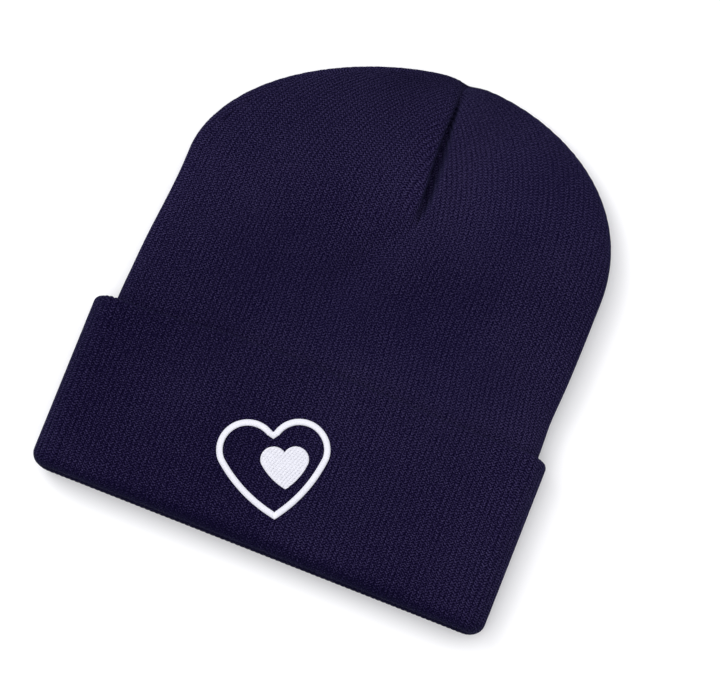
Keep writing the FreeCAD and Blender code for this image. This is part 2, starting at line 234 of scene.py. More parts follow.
def outline(y):
    """(left, right) of the body at y."""
    rise = crown_rise(y)
    leaning = ease(y, CUFF_TOP, CROWN_START)
    drawn_in = np.clip((y - HEM_Y) / (CUFF_TOP - HEM_Y), 0, 1)
    side = STRAIGHT + BODY_OUT
    left = -side + LEFT_DRAWN_IN * drawn_in + LEFT_LEAN * leaning
    right = side - RIGHT_DRAWN_IN * drawn_in - RIGHT_LEAN * leaning
    left = PEAK_X + (left - PEAK_X) * (1 - rise ** LEFT_CURVE[0]) ** (1 / LEFT_CURVE[1])
    right = PEAK_X + (right - PEAK_X) * (1 - rise ** RIGHT_CURVE[0]) ** (1 / RIGHT_CURVE[1])
    return left, right


def body_heights(y):
    """(underside, top) of the body at y."""
    settle = ease(y, CUFF_TOP - 2 * MM, CUFF_TOP + SETTLE)
    rise = crown_rise(y)
    middle = MIDDLE + settle * ((BODY_HIGH + BODY_LOW) / 2 - MIDDLE) - CROWN_DROP * rise**2
    half = BODY_OUT + settle * ((BODY_HIGH - BODY_LOW) / 2 - BODY_OUT)
    half = half * (1 - CROWN_THINNING * rise**1.6) * (1 - rise**9) ** 0.5
    return middle - half, middle + half


SECTIONS, SAMPLES = 220, 81  # from the hem to the crown, and across each panel
section_y = HEM_Y + (CROWN_TOP - HEM_Y) * np.sin(np.linspace(0, 1, SECTIONS) * math.pi / 2) ** 0.9
SECTION_POINTS = 1601
DART_RIB = 45  # the front dart's valley
PANEL = RIBS // 4  # ribs in each of the crown's four panels
panel_starts = [DART_RIB - PANEL, DART_RIB, DART_RIB + PANEL, DART_RIB + 2 * PANEL]


def closed_section(y, inset):
    """Points of a section from its left extreme over the front, and their distances along it."""
    left, right = outline(y)
    low, high = body_heights(y)
    half_wide = max((right - left) / 2 - inset, 1e-7)
    half_high = max((high - low) / 2 - inset, 1e-7)
    angle = np.linspace(0, 2 * math.pi, SECTION_POINTS)
    power = 2 / EDGE_SQUARE
    x = (left + right) / 2 - half_wide * np.sign(np.cos(angle)) * np.abs(np.cos(angle)) ** power
    z = (low + high) / 2 + half_high * np.sign(np.sin(angle)) * np.abs(np.sin(angle)) ** power
    distance = np.concatenate([[0], np.cumsum(np.hypot(np.diff(x), np.diff(z)))])
    return x, z, distance


def section_table(depth):
    """x and z for each panel, section and step across it, a depth(y) below the outside of the cloth."""
    table = np.zeros((4, SECTIONS, SAMPLES, 2))
    perimeter = np.zeros(SECTIONS)
    step = np.linspace(0, 1, SAMPLES)
    for k, y in enumerate(section_y):
        inset = float(depth(y))
        x, z, distance = closed_section(y, inset)
        perimeter[k] = distance[-1]
        half = len(distance) // 2
        front_dart = np.interp(PEAK_X, x[: half + 1], distance[: half + 1])
        back_dart = distance[-1] - front_dart
        round_side = min(SHOULDER_DART, SHOULDER_SHARE * distance[-1])
        seams = [round_side, front_dart, distance[half] + round_side, back_dart, distance[-1] + round_side]
        loose = ease(y, CUFF_TOP, CUFF_TOP + 0.8 * SETTLE)
        for p in range(4):
            at = np.mod(seams[p] + step * (seams[p + 1] - seams[p]), distance[-1])
            sx, sz, _, _ = stadium(panel_starts[p] + step * PANEL, BODY_OUT - inset)
            left, right = outline(y)
            stretch = (right - left) / (2 * (STRAIGHT + BODY_OUT))
            sx = (left + right) / 2 + sx * stretch
            table[p, k, :, 0] = (1 - loose) * sx + loose * np.interp(at, distance, x)
            table[p, k, :, 1] = (1 - loose) * sz + loose * np.interp(at, distance, z)
    return table, perimeter


def no_depth(y):
    return 0.0 * y


outer_table, outer_perimeter = section_table(no_depth)
DART_BASE = HEM_Y + 147 * MM  # the darts' lower ends
base_perimeter = np.interp(DART_BASE, section_y, outer_perimeter)
shrink = np.minimum.accumulate(np.minimum(outer_perimeter / base_perimeter, 1.0))
shrink[section_y < DART_BASE] = 1.0
print("perimeter at the darts' base in mm:", in_mm(base_perimeter))


# %% [markdown]
# ## Wales that run into the darts
# A dart takes a wedge out of the cloth, so near the crown the wales do not crowd together: they run
# straight on until the dart's seam cuts them off. Each column of the grid therefore ends at its own
# height on the seam, and its mirror on the other side of the dart ends at the same point, where the two
# are welded.

# %% Place a point of the body
ROW_SPLIT = DART_BASE - 14 * MM  # below this every column has the same rows


def panel_place(u):
    """(panel number, place across it from -1 to 1) of a rib coordinate."""
    along = np.mod(u - panel_starts[0], RIBS)
    panel = np.minimum((along // PANEL).astype(int), 3)
    return panel, 2 * (along / PANEL - panel) - 1


def seam_height(u):
    """The y at which the wale at rib coordinate u meets a dart's seam."""
    _, across = panel_place(u)
    above = section_y >= DART_BASE
    return np.interp(np.abs(across), shrink[above][::-1], section_y[above][::-1])


def on_body(table, u, y, depth):
    """Points on a ply of the body at rib coordinates u and heights y, two arrays of one shape."""
    panel, across = panel_place(u)
    across = np.clip(across / np.interp(y, section_y, shrink), -1, 1)
    step = (across + 1) / 2 * (SAMPLES - 1)
    m = np.clip(step.astype(int), 0, SAMPLES - 2)
    section = np.interp(y, section_y, np.arange(SECTIONS))
    k = np.clip(section.astype(int), 0, SECTIONS - 2)
    past_m, past_k = (step - m)[..., None], (section - k)[..., None]
    low = table[panel, k, m] * (1 - past_m) + table[panel, k, m + 1] * past_m
    high = table[panel, k + 1, m] * (1 - past_m) + table[panel, k + 1, m + 1] * past_m
    xz = low * (1 - past_k) + high * past_k
    rise = ease(y, CROWN_START, CROWN_TOP)
    return np.stack([xz[..., 0], y - depth(y) * rise, xz[..., 1]], -1)


# %% [markdown]
# ## The darts' folds
# Where a dart is sewn, the seam pulls the cloth inwards and the cloth on each side swells over it. At the
# front the left side hangs over a narrow groove with a steep right wall, so light from the left leaves a
# dark band. The groove is narrow at the crown and widest half way down, and a shallow hollow runs on
# below the dart.

# %% Shape the cloth round the darts
CREASE = 6.8 * MM  # depth of the groove
GROOVE_WIDE, GROOVE_NARROW = 3.6 * MM, 1.2 * MM  # floor of the groove, to the right of the seam
WALL_SOFTNESS = 0.55 * MM  # how gently the groove's walls turn
LEFT_LOBE, LEFT_PLACE, LEFT_SPREAD = 1.9 * MM, 9 * MM, 6 * MM  # a swell's height, place and half-width
RIGHT_LOBE, RIGHT_PLACE, RIGHT_SPREAD = 1.4 * MM, 7 * MM, 8 * MM
OVERHANG = 2.4 * MM  # the left swell leans this far over the groove
SEAM_BOW = 1.8 * MM  # the seam bows this far to the left
SEAM_LEAN = 2.4 * MM  # and its lower end lies this far to the right of its upper one
HOLLOW, HOLLOW_LONG, HOLLOW_SPREAD = 1.9 * MM, 48 * MM, 8 * MM  # depth, length and half-width
HOLLOW_DRIFT = 28 * MM  # the hollow runs this far to the left on its way down
NOTCH = 0.8 * MM  # the seam draws the crown's end in by this much


def bell(distance, width):
    """1 where the distance is 0, falling off evenly on both sides."""
    return np.exp(-((distance / width) ** 2))


def fold_darts(points):
    """Points of the body, moved for the folds of the front dart and the soft hollow below it."""
    x, y, z = points[..., 0].copy(), points[..., 1].copy(), points[..., 2].copy()
    down = np.clip((CROWN_TOP - y) / (CROWN_TOP - DART_BASE), 0, 1)  # 0 at the crown, 1 at the dart's base
    low, high = body_heights(y)
    side = ease((z - low) / np.maximum(high - low, 3 * MM), 0.3, 0.75)  # 1 on the front, 0 on the back
    bow = SEAM_BOW * np.sin(math.pi * down) - SEAM_LEAN * down
    x = x - side * bow * bell(x - PEAK_X, 22 * MM) * ease(y, DART_BASE - 30 * MM, DART_BASE)
    d = x + bow - PEAK_X
    sewn = ease(y, DART_BASE - 7 * MM, DART_BASE + 13 * MM)
    fade = 1 - 0.7 * ease(y, CROWN_TOP - 20 * MM, CROWN_TOP - 2 * MM)
    left_lobe = LEFT_LOBE * bell(d + LEFT_PLACE, LEFT_SPREAD)
    lobe = left_lobe + RIGHT_LOBE * bell(d - RIGHT_PLACE, RIGHT_SPREAD)
    widest = ease(down, 0.25, 0.6) * (1 - ease(down, 0.8, 1.05))
    width = GROOVE_NARROW + (GROOVE_WIDE - GROOVE_NARROW) * widest
    left_wall = 1 / (1 + np.exp(-(d + 2.0 * MM) / WALL_SOFTNESS))
    right_wall = 1 / (1 + np.exp((d - width) / WALL_SOFTNESS))
    dip = left_wall * right_wall * (0.8 + 0.2 * bell(d, 3 * MM))
    z = z + side * sewn * fade * (lobe - CREASE * dip)
    overhang = OVERHANG * bell(d + 3.5 * MM, 3 * MM) * (1 - bell(d, 1.5 * MM))
    x = x + side * sewn * fade * np.where(d < 0, overhang, 0)
    along = (DART_BASE - y) / HOLLOW_LONG
    off_line = x - (PEAK_X + SEAM_LEAN - HOLLOW_DRIFT * np.clip(along, 0, 1))
    hollow = HOLLOW * bell(off_line, HOLLOW_SPREAD) * ease(along, -0.25, 0.2) * (1 - ease(along, 0.55, 1.15))
    z = z - side * hollow
    y = y - NOTCH * bell(d, 5 * MM) * ease(y, CROWN_TOP - 22 * MM, CROWN_TOP - 2 * MM)
    return np.stack([x, y, z], -1)


# %% [markdown]
# ## Small unevenness
# A hat that was dropped on a table is nowhere quite straight. One function moves any point of it a
# little, and the body, the cuff and the embroidery all pass through it, so they stay together: the
# corners are soft, the front of the hem bows up, and the cuff's free edge waves and drops towards its
# left end.

# %% Relax the straight lines
CORNER_BOW = 2.6 * MM
HEM_BOW = 1.8 * MM  # the front of the hem bows up between its ends, so the back shows below it
EDGE_WAVE, LEFT_DROP = 0.8 * MM, 2.2 * MM  # of the cuff's free edge
FRONT_WAVE = 0.5 * MM


def relax(points):
    """Points of the hat, moved by the unevenness that the whole hat shares."""
    x, y, z = points[..., 0].copy(), points[..., 1].copy(), points[..., 2].copy()
    up = ease(y, HEM_Y, CUFF_TOP)
    front = ease(z, MIDDLE, MIDDLE + FOLD_LINE)
    past = np.clip((np.abs(x) - (STRAIGHT + 3 * MM)) / (CUFF_OUT - 3 * MM), 0, 1)
    near_cuff = 1 - ease(y, CUFF_TOP + 1 * MM, CUFF_TOP + 25 * MM)
    y = y + past**2 * CORNER_BOW * (1 - 2 * up) * near_cuff
    y = y + front * near_cuff * up * EDGE_WAVE * np.sin(x / (27 * MM) + 1.9)
    y = y - near_cuff * up * LEFT_DROP * ease(-x, 30 * MM, STRAIGHT)
    outer = ease(z, MIDDLE + FOLD_LINE - 1 * MM, MIDDLE + CUFF_OUT)
    y = y + outer * (1 - up) * HEM_BOW * bell(x - 12 * MM, 55 * MM)
    past_hem = ease(y, HEM_Y, HEM_Y + 20 * MM)
    z = z + front * past_hem * FRONT_WAVE * np.sin(x / (33 * MM) + 0.7) * np.sin(y / (24 * MM) + 0.4)
    return np.stack([x, y, z], -1)


def normals_of(points):
    """Unit normals of a grid of points that closes on itself from its last column to its first."""
    ring = points[:, :-1]
    across = np.roll(ring, -1, 1) - np.roll(ring, 1, 1)
    across = np.concatenate([across, across[:, :1]], 1)
    along = np.gradient(points, axis=0)
    normal = np.cross(across, along)
    size = np.linalg.norm(normal, axis=-1, keepdims=True)
    return normal / np.maximum(size, 1e-12)


# %% [markdown]
# ## The body relaxed by simulation
# A coarse body, one column to a rib, is made first and blown up a little with Blender's cloth, pinned
# under the cuff. Only the slow part of its movement is kept, because the ribs have no room in so coarse a
# grid, and it is added to every ply of the body. That gives the crown its slack pillow look.

# %% Rows and columns of the body
UNDER_CUFF_ROWS, OPEN_ROWS, CROWN_ROWS = 8, 21, 28
low_rows = np.concatenate([
    np.linspace(HEM_Y, CUFF_TOP - 7 * MM, UNDER_CUFF_ROWS, endpoint=False),
    np.linspace(CUFF_TOP - 7 * MM, ROW_SPLIT, OPEN_ROWS, endpoint=False),
])
crown_steps = np.sin(np.linspace(0, 1, CROWN_ROWS) * math.pi / 2) ** 0.92


def body_rows(u):
    """y for each row of the body and each column in u."""
    below = np.repeat(low_rows[:, None], len(u), 1)
    above = ROW_SPLIT + crown_steps[:, None] * (seam_height(u) - ROW_SPLIT)[None, :]
    return np.concatenate([below, above], 0)


def body_sheet(table, fine, depth):
    """(points, rib coordinates, y) of one surface of the body with so many columns to a rib."""
    u = np.arange(RIBS * fine + 1) / fine + panel_starts[0]
    y = body_rows(u)
    across = np.repeat(u[None, :], len(y), 0)
    return relax(fold_darts(on_body(table, across, y, depth))), across, y


coarse, coarse_u, coarse_y = body_sheet(outer_table, 1, no_depth)
print("coarse body grid:", coarse.shape[:2])

# %% Blow up the coarse body
SIM_FRAMES = 18
LIMIT = 5.0 * MM  # no point of the body may move further
CLEAR = 0.4 * MM  # and none may come closer to the table


def simulate_body():
    """How far each point of the coarse grid moves."""
    sheet = cloth_grid("body_for_cloth", coarse, coarse_u, coarse_y)
    before = np.array([v.co for v in sheet.data.vertices])
    pinned = sheet.vertex_groups.new(name="pinned")
    for v in sheet.data.vertices:
        weight = 1 - ease(np.array(v.co.y), CUFF_TOP + 4 * MM, CUFF_TOP + 14 * MM)
        pinned.add([v.index], float(weight), "REPLACE")
    cloth = sheet.modifiers.new("Cloth", "CLOTH")
    cloth.settings.vertex_group_mass = "pinned"
    cloth.settings.quality = 6
    cloth.settings.mass = 0.3
    cloth.settings.tension_stiffness = cloth.settings.compression_stiffness = 8
    cloth.settings.shear_stiffness = 3
    cloth.settings.bending_stiffness = 0.6
    cloth.settings.use_pressure = True
    cloth.settings.uniform_pressure_force = 1.2
    cloth.settings.shrink_min = -0.012
    cloth.settings.effector_weights.gravity = 0
    cloth.collision_settings.use_collision = False
    cloth.point_cache.frame_start, cloth.point_cache.frame_end = 1, SIM_FRAMES
    for number in range(1, SIM_FRAMES + 1):
        bpy.context.scene.frame_set(number)
    depsgraph = bpy.context.evaluated_depsgraph_get()
    after = np.array([v.co for v in sheet.evaluated_get(depsgraph).data.vertices])
    bpy.context.scene.frame_set(1)
    tree = KDTree(len(before))
    for k, p in enumerate(before):
        tree.insert(p, k)
    tree.balance()
    moved = after - before
    print("cloth moved at most, in mm:", in_mm(np.abs(moved).max()))
    found = np.array([[tree.find(p)[1] for p in row] for row in coarse])
    bpy.data.objects.remove(sheet)
    return moved[found]


def slow_part(field, rounds=6):
    """A smoothed copy of a movement field that wraps round its columns."""
    for _ in range(rounds):
        ring = field[:, :-1]
        ring = (np.roll(ring, 1, 1) + 2 * ring + np.roll(ring, -1, 1)) / 4
        inner = (ring[:-2] + 2 * ring[1:-1] + ring[2:]) / 4
        ring = np.concatenate([ring[:1], inner, ring[-1:]], 0)
        field = np.concatenate([ring, ring[:, :1]], 1)
    return field


def sew_together(field):
    """Makes the two sides of each dart move as one, and all four panels' tips."""
    last = field[-1, :-1].copy()
    half = PANEL // 2
    for seam in range(4):
        right = (seam * PANEL + np.arange(half + 1)) % RIBS
        left = (seam * PANEL - np.arange(half + 1)) % RIBS
        last[right] = last[left] = (last[right] + last[left]) / 2
    last[half::PANEL] = last[half::PANEL].mean(0)
    field[-1] = np.concatenate([last, last[:1]])
    return field


movement = np.zeros_like(coarse)
movement = simulate_body()
reach = np.linalg.norm(movement, axis=-1, keepdims=True)
movement = movement * np.minimum(1, LIMIT / np.maximum(reach, 1e-9))
movement = sew_together(slow_part(movement))


def add_movement(points, fine, rows=None):
    """Adds the coarse body's movement to a sheet with so many columns to a rib, on some of its rows."""
    field = movement if rows is None else movement[rows]
    at = np.arange(points.shape[1]) / fine
    k = np.minimum(at.astype(int), RIBS - 1)
    part = (at - k)[None, :, None]
    moved = points + field[:, k] * (1 - part) + field[:, k + 1] * part
    moved[..., 2] = np.maximum(moved[..., 2], CLEAR)
    return moved


# %% [markdown]
# ## The outer ply
# The visible cloth of the body is one sheet that starts at the crown's seams, runs down to the hem line
# and turns back inside itself, so it is a closed skin with the knit's own thickness. Ribs are cut in
# along the surface's normals and die out in the last row, where the seam nips them flat.

# %% Knit the outer ply
RIB_COLUMNS = 6  # grid columns to one rib


def some_rows(step):
    """Every so many rows of the body, and its last one."""
    return list(range(0, len(coarse), step)) + [len(coarse) - 1]


def ribbed(points, u, strength):
    """Points with the ribs sunk in along the normals. strength is 1 for full ribs."""
    return points - normals_of(points) * (rib_sink(u) * strength)[..., None]


def seam_fade(count):
    """1 on every row but the last few, which a seam flattens."""
    rows = np.ones(count)
    rows[-3:] = (0.8, 0.4, 0.0)
    return rows[:, None]


def stitch_count(points):
    """Stitches counted up each wale, by the length of cloth."""
    step = np.linalg.norm(np.diff(points, axis=0), axis=-1)
    return np.concatenate([np.zeros((1, points.shape[1])), np.cumsum(step, 0)], 0) / STITCH


def ply_depth(y):
    return PLY + 0.0 * y


INNER_ROWS = some_rows(4)
outside, outside_u, _ = body_sheet(outer_table, RIB_COLUMNS, no_depth)
outside = add_movement(outside, RIB_COLUMNS)
outside_v = stitch_count(outside)
outside = ribbed(outside, outside_u, seam_fade(len(outside)))

inside, inside_u, _ = body_sheet(section_table(ply_depth)[0], RIB_COLUMNS, ply_depth)
inside = add_movement(inside, RIB_COLUMNS)[INNER_ROWS]
skin = np.concatenate([inside[::-1], outside], 0)
skin_u = np.concatenate([inside_u[INNER_ROWS][::-1], outside_u], 0)
skin_v = np.concatenate([-stitch_count(inside)[::-1], outside_v], 0)
body_knit = cloth_grid("body_outer_ply_knit", skin, skin_u, skin_v)
print("outer ply: faces", len(body_knit.data.polygons), "open edges", open_edges(body_knit))


# %% [markdown]
# ## The lining ply
# The tube's other end is pushed up inside and closed with its own darts, a seam allowance below the outer
# crown. Its ribs face the head. They are seen only at the mouth, so this skin takes fewer columns to a
# rib.

# %% Knit the lining
PLY_GAP = WALL - 2 * PLY
SEAM_ROOM = 2.2 * MM  # between the plies at the crown, where the darts' seam allowances lie
PART_START, PART_END = CROWN_START - 33 * MM, CROWN_START + 6 * MM  # the plies draw apart between these
LINING_COLUMNS = 4
LINING_ROWS = some_rows(3)


def lining_top(y):
    return PLY + PLY_GAP + (SEAM_ROOM - PLY_GAP) * ease(y, PART_START, PART_END)


def lining_bottom(y):
    return lining_top(y) + PLY


top, top_u, _ = body_sheet(section_table(lining_top)[0], LINING_COLUMNS, lining_top)
bottom, bottom_u, _ = body_sheet(section_table(lining_bottom)[0], LINING_COLUMNS, lining_bottom)
top = add_movement(top, LINING_COLUMNS)[LINING_ROWS]
bottom = add_movement(bottom, LINING_COLUMNS)[LINING_ROWS]
bottom = ribbed(bottom, bottom_u[LINING_ROWS], -seam_fade(len(bottom)))
skin = np.concatenate([bottom[::-1], top], 0)
skin_u = np.concatenate([bottom_u[LINING_ROWS][::-1], top_u[LINING_ROWS]], 0)
skin_v = np.concatenate([-stitch_count(bottom)[::-1], stitch_count(top)], 0)
lining_knit = cloth_grid("lining_ply_knit", skin, skin_u, skin_v)
print("lining: faces", len(lining_knit.data.polygons), "open edges", open_edges(lining_knit))


# %% [markdown]
# ## The turned-up cuff
# The cuff is the same tube turned back over itself at the hem, with a round fold there and another at its
# free edge. Its profile is drawn once, as places with the direction that they face, and swept round the
# hat with the ribs cut in. The sweep is split at valleys between ribs into a front, a back and two side
# folds, and the side folds' share of the hem is swept as two rolls of its own. Inside the hem a narrow
# slot, which can't be seen, runs down to the hinge line.

# %% Draw the cuff's profile
EDGE_RADIUS = WALL / 2


def arc_places(centre, radius, angles):
    """(rho, y, way out in rho, way out in y) round an arc. At 0 degrees it faces down, at 90 outwards."""
    turns = [(math.sin(a), math.cos(a)) for a in np.radians(angles)]
    return [(centre[0] + radius * s, centre[1] - radius * c, s, -c) for s, c in turns]


def run_places(rho, y0, y1, count, way):
    """Places up or down a straight run of the profile that faces outwards or inwards."""
    return [(rho, float(y), way, 0.0) for y in np.linspace(y0, y1, count)]


HINGE_Y = HEM_Y - math.pi / 4 * TURN  # so that the opened fold is as long as its outside
HEM_ANGLES = (13, 24, 36, 50, 64, 78, 90)  # from its lowest line up either side of the hem
EDGE_ANGLES = (105, 120, 135, 150, 165, 180, 200, 220, 240)
free_edge = (CUFF_OUT - EDGE_RADIUS, CUFF_TOP - EDGE_RADIUS)
hem_centre = (FOLD_LINE, HEM_Y)
hem_under = arc_places(hem_centre, TURN, [-angle for angle in reversed(HEM_ANGLES)])
hem_over = arc_places(hem_centre, TURN, HEM_ANGLES)
outside_run = run_places(CUFF_OUT, HEM_Y + 3 * MM, free_edge[1], 17, 1.0)
free_turn = arc_places(free_edge, EDGE_RADIUS, EDGE_ANGLES)
inside_run = run_places(CUFF_IN, free_edge[1], HEM_Y, 9, -1.0)
slot_down = run_places(CUFF_IN, HEM_Y - 0.9 * MM, HINGE_Y, 3, -1.0)
slot_up = run_places(BODY_OUT, HINGE_Y, HEM_Y, 4, 1.0)
split_edge = HEM_Y - TURN + 0.1 * MM  # the side folds part from the hat's half of the hem at its lowest line
over_end = arc_places(hem_centre, TURN, (-0.5, 2))  # the halves overlap by a degree, to let no light through
under_end = arc_places(hem_centre, TURN, (-2, 0.5))
over_foot = run_places(over_end[0][0], split_edge, split_edge, 1, 0.0)
under_foot = run_places(under_end[1][0], split_edge, split_edge, 1, 0.0)


def sweep(profile, start, end, name, first_stitch=0.0):
    """A closed piece of the cuff between two rib coordinates, capped at both ends."""
    u = np.linspace(start, end, int((end - start) * RIB_COLUMNS) + 1)
    rows = profile + profile[:1]
    rho, y, out, down = (np.array([place[k] for place in rows])[:, None] for k in range(4))
    sink = rib_sink(u)[None, :] * pressed(down)
    x, z, _, _ = stadium(u[None, :] + 0 * rho, rho - out * sink)
    points = relax(np.stack([x, y - down * sink + 0 * x, z], -1))
    step = np.hypot(np.diff(rho[:, 0]), np.diff(y[:, 0]))
    count = np.concatenate([[0], np.cumsum(step)]) / STITCH + first_stitch
    across = np.repeat(u[None, :], len(rows), 0)
    piece = cloth_grid(name, points, across, np.repeat(count[:, None], len(u), 1))
    cap_ends(piece)
    return piece


def cap_ends(piece):
    """Closes a swept piece's open loops with flat faces and keeps their rims sharp."""
    bm = bmesh.new()
    bm.from_mesh(piece.data)
    loose = [e for e in bm.edges if len(e.link_faces) == 1]
    for face in bmesh.ops.holes_fill(bm, edges=loose, sides=0)["faces"]:
        face.smooth = False
        for edge in face.edges:
            edge.smooth = False
    bmesh.ops.recalc_face_normals(bm, faces=bm.faces)
    bm.to_mesh(piece.data)
    bm.free()


# %% Sweep the cuff's pieces
whole = hem_under + hem_over + outside_run + free_turn + inside_run + slot_down + slot_up
cuff_front = sweep(whole, LEFT_END, RIGHT_START, "cuff_front_knit")
cuff_back = sweep(whole, BACK_START, BACK_END, "cuff_back_knit")
fold_profile = over_end + hem_over + outside_run + free_turn + inside_run + slot_down + over_foot
roll_profile = hem_under + under_end + under_foot + slot_up
HALF_HEM = math.pi / 2 * TURN / STITCH  # stitches from the mouth to the hem's lowest line
cuff_right = sweep(fold_profile, RIGHT_START, BACK_START, "cuff_right_fold_knit", HALF_HEM)
cuff_left = sweep(fold_profile, BACK_END, RIBS, "cuff_left_fold_knit", HALF_HEM)
roll_right = sweep(roll_profile, RIGHT_START, BACK_START, "hem_right_roll_knit")
roll_left = sweep(roll_profile, BACK_END, RIBS, "hem_left_roll_knit")
for piece in (cuff_front, cuff_back, cuff_right, cuff_left, roll_right, roll_left):
    print(piece.name, "faces", len(piece.data.polygons), "open edges", open_edges(piece))


# %% [markdown]
# ## Seam allowances
# Each dart leaves a narrow overlocked roll between the plies. It can't be seen, yet it is part of the
# hat, and it has to follow the darts of the cloth made here. Each roll is a circle extruded step by step
# along points that are read off the surface halfway between the plies.

# %% A helper that extrudes a round cord
def finished(name, bm):
    """A smooth-shaded object from a bmesh, in the scene."""
    bmesh.ops.recalc_face_normals(bm, faces=bm.faces)
    mesh = bpy.data.meshes.new(name)
    bm.to_mesh(mesh)
    bm.free()
    mesh.shade_smooth()
    obj = bpy.data.objects.new(name, mesh)
    collection.objects.link(obj)
    return obj


def round_cord(name, path, radius, sides=8):
    """A closed round cord along a path of points."""
    path = [Vector(p) for p in path]
    ways = [(path[min(k + 1, len(path) - 1)] - path[max(k - 1, 0)]).normalized() for k in range(len(path))]
    bm = bmesh.new()
    start = Matrix.Translation(path[0]) @ ways[0].to_track_quat("Z", "Y").to_matrix().to_4x4()
    ring = bmesh.ops.create_circle(bm, segments=sides, radius=radius, matrix=start)["verts"]
    edges = list(bm.edges)
    first = list(edges)
    for k in range(1, len(path)):
        made = bmesh.ops.extrude_edge_only(bm, edges=edges)["geom"]
        ring = [g for g in made if isinstance(g, bmesh.types.BMVert)]
        edges = [g for g in made if isinstance(g, bmesh.types.BMEdge)]
        bmesh.ops.translate(bm, verts=ring, vec=path[k] - path[k - 1])
        bend = ways[k - 1].rotation_difference(ways[k]).to_matrix()
        bmesh.ops.rotate(bm, cent=path[k], matrix=bend, verts=ring)
    bmesh.ops.holes_fill(bm, edges=first + edges, sides=0)
    return finished(name, bm)


# %% Roll the darts' seam allowances
knot_low, knot_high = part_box("crown_tack_knot")
SEAM_RADIUS = (knot_high.x - knot_low.x) / 2
ASIDE = SEAM_ROOM / 2 - 0.15 * MM  # the outer crown's rolls and the lining's lie side by side


def between_plies(y):
    return (PLY + lining_top(y)) / 2


seam_table = section_table(between_plies)[0]
nearest = KDTree(coarse.shape[0] * coarse.shape[1])
for k, p in enumerate(coarse.reshape(-1, 3)):
    nearest.insert(p, k)
nearest.balance()
seam_y = np.linspace(DART_BASE - 2 * MM, CROWN_TOP - 7 * MM, 16)  # places along each roll


def seam_path(panel):
    """Points along the dart at the start of a panel, between the plies, from its base to the crown."""
    u = np.full_like(seam_y, panel_starts[panel] + 1e-4)
    points = relax(fold_darts(on_body(seam_table, u, seam_y, between_plies)))
    field = movement.reshape(-1, 3)
    return np.array([p + field[nearest.find(p)[1]] for p in points])


def round_way(panel):
    """Unit directions round the hat at the places of a seam path."""
    k = np.rint(np.interp(seam_y, section_y, np.arange(SECTIONS))).astype(int)
    step = seam_table[panel, k, 2] - seam_table[panel - 1, k, SAMPLES - 3]
    step = step / np.linalg.norm(step, axis=1, keepdims=True)
    return np.stack([step[:, 0], 0 * seam_y, step[:, 1]], 1)


rolls = []
for panel, place in enumerate(("left", "front", "right", "back")):
    path, across = seam_path(panel), round_way(panel)
    for ply, side in (("crown", 1), ("lining", -1)):
        roll = round_cord(f"{ply}_dart_roll_{place}", path + side * ASIDE * across, SEAM_RADIUS)
        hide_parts(f"{ply}_dart_{place}")
        rolls.append(roll)
top_ends = np.array([seam_path(panel)[-1] for panel in range(4)])
print("rolls:", len(rolls), "upper ends at x in mm:", [in_mm(v) for v in top_ends[:, 0]])

# %% Tie the closing knot
KNOT_DOWN = 4.6 * MM  # from the crown's end to the knot
knot_place = Vector((PEAK_X, CROWN_TOP - KNOT_DOWN, float(top_ends[[1, 3], 2].mean())))
bm = bmesh.new()
bmesh.ops.create_icosphere(bm, subdivisions=2, radius=SEAM_RADIUS, matrix=Matrix.Translation(knot_place))
bmesh.ops.scale(bm, vec=(1.0, 0.8, 1.2), verts=bm.verts, space=Matrix.Translation(-knot_place))
knot = finished("crown_closing_knot", bm)
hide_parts("crown_tack_knot")


# %% [markdown]
# ## Care label
# A blank ribbon is folded in half and sewn to the lining by its cut ends. It starts as a flat grid that
# is bent round its fold, and gets its thickness from the solidify operator, so its two layers stay one
# piece of cloth.

# %% Fold the label
label_low, label_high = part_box("care_label")
LABEL_THICK = 0.22 * MM
LABEL_LIFT, LABEL_SWELL = 0.5 * MM, 0.25 * MM  # the upper layer stands off a little, and the fold bulges
LABEL_FOLD = (label_high.z - label_low.z - LABEL_THICK) / 2  # radius of the fold
label_run = label_high.y - label_low.y - LABEL_FOLD - LABEL_THICK / 2
label_half = (label_high.x - label_low.x) / 2
LABEL_FLAT = 2 * label_run + math.pi * LABEL_FOLD


def label_place(s):
    """(y, z) of the ribbon at a distance s from its lower cut end."""
    z0 = label_low.z + LABEL_THICK / 2
    if s < label_run:
        return label_high.y - s, z0
    if s > label_run + math.pi * LABEL_FOLD:
        back = s - label_run - math.pi * LABEL_FOLD
        lift = LABEL_LIFT * float(ease(np.array(label_run - back), 4 * MM, 24 * MM))
        return label_high.y - label_run + back, z0 + 2 * LABEL_FOLD + lift
    a = (s - label_run) / LABEL_FOLD
    swell = LABEL_SWELL * math.sin(a / 2)
    return label_high.y - label_run - (LABEL_FOLD + swell) * math.sin(a), z0 + LABEL_FOLD * (1 - math.cos(a))


bm = bmesh.new()
bmesh.ops.create_grid(bm, x_segments=8, y_segments=72, size=0.5)
for v in bm.verts:
    y, z = label_place((v.co.y + 0.5) * LABEL_FLAT)
    v.co = ((label_low.x + label_high.x) / 2 + 2 * label_half * v.co.x, y, z)
bmesh.ops.recalc_face_normals(bm, faces=bm.faces)
bmesh.ops.solidify(bm, geom=list(bm.faces), thickness=LABEL_THICK)
label = finished("care_label_ribbon", bm)
print("label's flat size in mm:", in_mm(2 * label_half), "x", in_mm(LABEL_FLAT))

# %% Sew the label on
stitch_low, stitch_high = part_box("label_stitching")
STITCH_LENGTH, THREAD = 2.0 * MM, 0.3 * MM
STITCH_SHARE = 0.94  # the rest of each length is the gap before the next stitch


